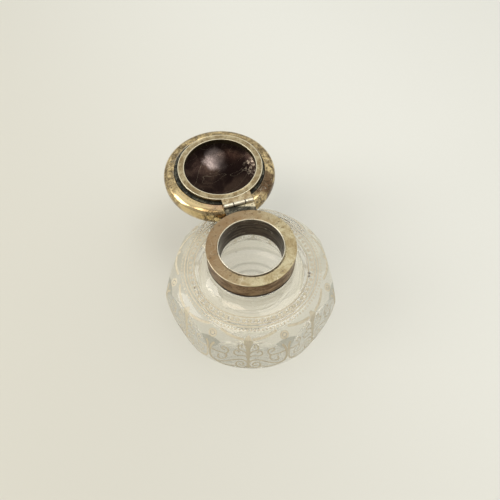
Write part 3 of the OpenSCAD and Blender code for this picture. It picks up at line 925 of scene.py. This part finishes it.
def build_lid():
    face_z = 2 * PIN.z - BEZEL_TOP.z
    rim_z = 2 * PIN.z - RING_TOP.z
    ring_z = 2 * PIN.z - RING_LOW.z
    tube_r, tube_z = BEZEL_OPEN_R + TUBE_T, ring_z + TUBE_RISE
    build_dome(face_z, rim_z)

    black = silver("groove_metal", bright=(0.17, 0.17, 0.125), tarnish=(0.045, 0.045, 0.038),
                   dark=(0.012, 0.012, 0.01), size=3, cover=0.45, specks=0.55, shine=(0.35, 0.55))
    outline = spaced(filleted([(tube_r, rim_z), (RIM_R, rim_z), (RIM_R, ring_z), (tube_r, ring_z)], 0.1), 0.6,
                     closed=True)
    ring = lathe("groove_ring", outline, opened, LID_COLUMNS)
    for j in range(LID_COLUMNS):
        for i, (r, z) in enumerate(outline):
            if r > (RIM_R + tube_r) / 2:
                ring.data.vertices[j * len(outline) + i].co.x += DOME_X * MM
    dent(ring, 0.05, 3, 6)
    finish_piece(ring, "lid_base_ring", "lid", "dark_silver", black)

    pale = silver("bezel_metal", bright=(0.52, 0.44, 0.27), tarnish=(0.28, 0.205, 0.105), dark=(0.10, 0.075, 0.04),
                  size=4, cover=0.49, specks=0.59, shine=(0.3, 0.4), wear_and_sheen_colour=(0.80, 0.73, 0.54))
    outline = spaced(filleted([
        (BEZEL_OPEN_R + BEZEL_DISH, face_z), (BEZEL_OPEN_R + BEZEL_EDGE, face_z),
        (BEZEL_OPEN_R + 2 * BEZEL_EDGE, face_z + BEZEL_DISH), (BEZEL_R - 2 * BEZEL_EDGE, face_z + BEZEL_DISH),
        (BEZEL_R - BEZEL_EDGE, face_z), (BEZEL_R - BEZEL_DISH, face_z), (BEZEL_R, face_z + BEZEL_DISH),
        (BEZEL_R, rim_z), (tube_r, rim_z), (tube_r, tube_z), (BEZEL_OPEN_R, tube_z),
        (BEZEL_OPEN_R, face_z + BEZEL_DISH),
    ], 0.3), 0.3, closed=True)
    bezel = lathe("bezel_ring", outline, opened, LID_COLUMNS)
    give(bezel.data, "wear_and_sheen", lathe_values(outline, LID_COLUMNS, lambda r, z, angle: 0.75 * float(
        z < face_z + 0.1 and (r < BEZEL_OPEN_R + BEZEL_EDGE or r > BEZEL_R - BEZEL_EDGE))))
    give(bezel.data, "grime_and_shade", lathe_values(outline, LID_COLUMNS, lambda r, z, angle: 0.9 * float(z > face_z + 0.9)))
    dent(bezel, 0.04, 6, 7)
    finish_piece(bezel, "lid_bezel", "lid", "bright_silver", pale)


# ---------------------------------------------------------------- stage, light and camera

# The table's size, and the direction and distance over which its colour changes as painted light falloff, in
# millimetres
TABLE_REACH = 4000
TABLE_LIGHT_FALLOFF, FALLOFF_REACH = (0.985, 0.17, 0), 190

# The world's colours, which end in ROOM towards ROOM_SIDE, and the point in metres that the lamps face
HORIZON, SKY, ROOM = (0.46, 0.455, 0.44), (0.93, 0.93, 0.905), (0.42, 0.41, 0.39)
ROOM_SIDE = (-0.27, -0.82, 0.5)
LAMPS_AIM = (0, 0.02, 0.05)


def build_stage():
    """The table, whose colour changes from one side to the other: painted light falloff, darker on one side."""
    look = Look("pale_table")
    paper = look.noise(2.5, detail=4, rough=0.6)
    # Painted light falloff: the table is darker towards one side.
    light_falloff = look.towards(TABLE_LIGHT_FALLOFF, -FALLOFF_REACH, FALLOFF_REACH)
    base = look.blend(light_falloff, (0.635, 0.625, 0.555), (0.815, 0.822, 0.772))
    look.set(Base_Color=look.blend(look.ramp(paper, 0.3, 0.7, 0.0, 0.04), base, (0.70, 0.68, 0.60)), Roughness=0.8,
             Specular_IOR_Level=0.15)
    floor = new_piece("table", [(x * TABLE_REACH, y * TABLE_REACH, 0) for x, y in ((-1, -1), (1, -1), (1, 1), (-1, 1))],
                      [(0, 1, 2, 3)])
    floor.data.materials.append(look.material)


def softbox(name, turn, rise, distance, size, power, colour=(1.0, 0.98, 0.94)):
    """A softbox facing the collar, turn degrees round from the front and rise degrees up."""
    turn, rise = math.radians(turn), math.radians(rise)
    away = Vector((math.sin(turn) * math.cos(rise), -math.cos(turn) * math.cos(rise), math.sin(rise)))
    data = bpy.data.lights.new(name, "AREA")
    data.shape = "RECTANGLE"
    data.size, data.size_y = size
    data.energy = power
    data.color = colour
    lamp = bpy.data.objects.new(name, data)
    lamp.location = Vector(LAMPS_AIM) + away * distance
    lamp.rotation_euler = away.to_track_quat("Z", "Y").to_euler()
    bpy.context.scene.collection.objects.link(lamp)


def build_light():
    """A pale world, darker at the horizon and on the photographer's side, and three softboxes."""
    world = bpy.data.worlds.new("studio")
    bpy.context.scene.world = world
    world.use_nodes = True
    nodes = Nodes(world.node_tree)
    place = nodes.add("ShaderNodeTexCoord").outputs["Generated"]
    split = nodes.add("ShaderNodeSeparateXYZ")
    nodes.feed(split.inputs["Vector"], place)
    colour = nodes.blend(nodes.ramp(split.outputs["Z"], 0.0, 0.42, kind="LINEAR"), HORIZON, SKY)
    colour = nodes.blend(nodes.ramp(nodes.along(place, ROOM_SIDE), 0.25, 0.8), colour, ROOM)
    background = nodes.tree.nodes["Background"]
    nodes.feed(background.inputs["Color"], colour)
    background.inputs["Strength"].default_value = 1.0

    softbox("key", turn=75, rise=72, distance=1.3, size=(0.7, 0.6), power=2.6)
    softbox("left_window", turn=-102, rise=30, distance=0.9, size=(0.42, 0.6), power=2.7)
    softbox("overhead", turn=-62, rise=62, distance=1.0, size=(0.42, 0.42), power=1.3, colour=(1.0, 0.86, 0.72))


def build_camera():
    turn, rise = math.radians(VIEW_TURN), math.radians(VIEW_RISE)
    back = Vector((math.sin(turn) * math.cos(rise), -math.cos(turn) * math.cos(rise), math.sin(rise)))
    facing = back.to_track_quat("Z", "Y")
    up = facing @ Vector((0, 1, 0))
    data = bpy.data.cameras.new("camera")
    data.lens, data.sensor_width = LENS, SENSOR
    data.clip_start = 0.01
    camera = bpy.data.objects.new("camera", data)
    camera.location = (Vector(VIEW_TARGET) + back * VIEW_DISTANCE - up * VIEW_DROP) * MM
    camera.rotation_euler = facing.to_euler()
    bpy.context.scene.collection.objects.link(camera)
    bpy.context.scene.camera = camera


build_camera()
build_stage()
build_light()
build_glass()
build_collar()
build_hinge()
build_lid()
bpy.context.scene.view_settings.view_transform = "Standard"
